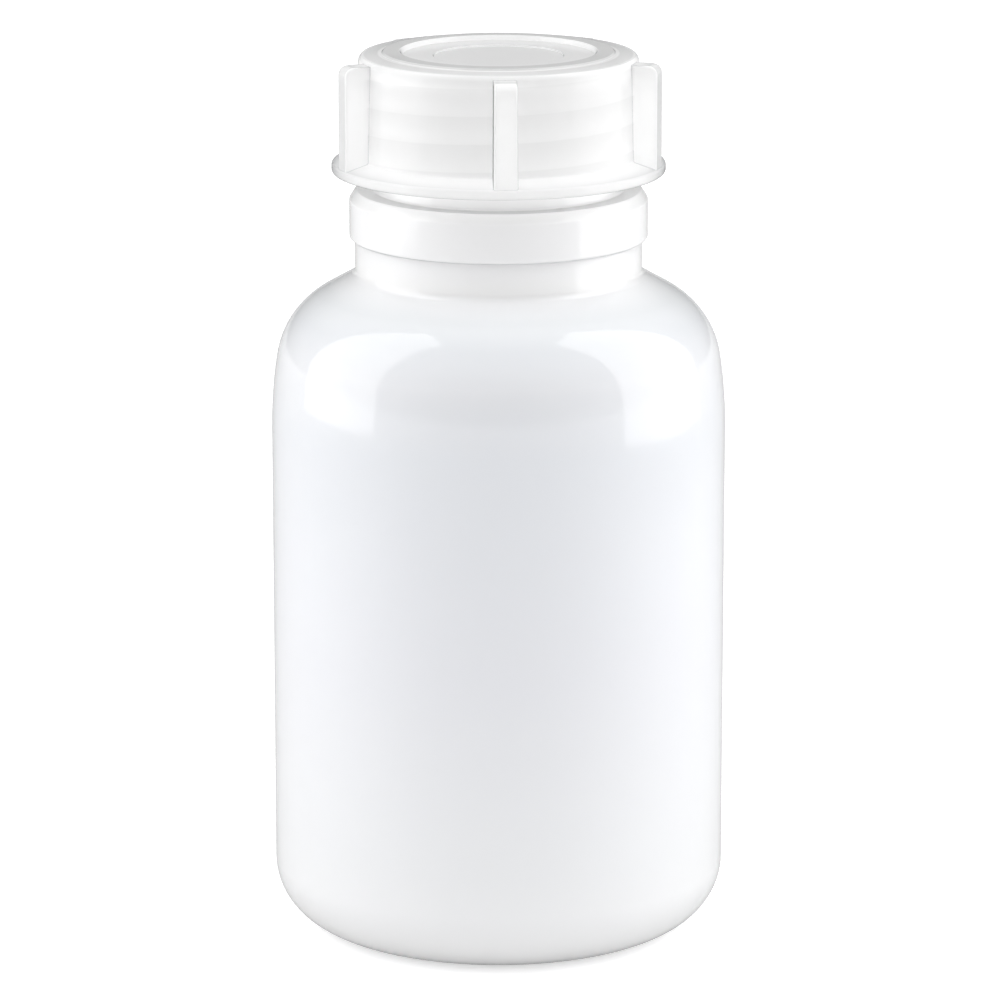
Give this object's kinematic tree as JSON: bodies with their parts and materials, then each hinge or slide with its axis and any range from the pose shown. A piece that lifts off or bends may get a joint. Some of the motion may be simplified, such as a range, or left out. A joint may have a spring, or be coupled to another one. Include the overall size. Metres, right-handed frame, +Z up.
{
  "type": "round wide-neck media bottle with screw cap",
  "caption": "Milky translucent round wide-neck laboratory bottle with a collar ring under a ribbed, flanged screw cap that seals with a moulded plug.",
  "frame": {"origin": "centre of the base, on the plane the bottle stands on", "axes": "+Z up along the bottle's axis, -Y towards the side that the first grip rib faces"},
  "size_m": [0.08, 0.08, 0.157],
  "materials": {
    "bottle_pe": "milky translucent blow-moulded polyethylene, semi-gloss",
    "cap_pp": "natural translucent injection-moulded polypropylene, gloss"
  },
  "bodies": {
    "bottle": {"bottle": "bottle_pe"},
    "cap": {"cap": "cap_pp"}
  },
  "joints": [
    {"name": "cap_lift", "type": "slide", "parent": "bottle", "child": "cap", "axis": [0, 0, 1], "range_m": [0, 0.08]}
  ]
}
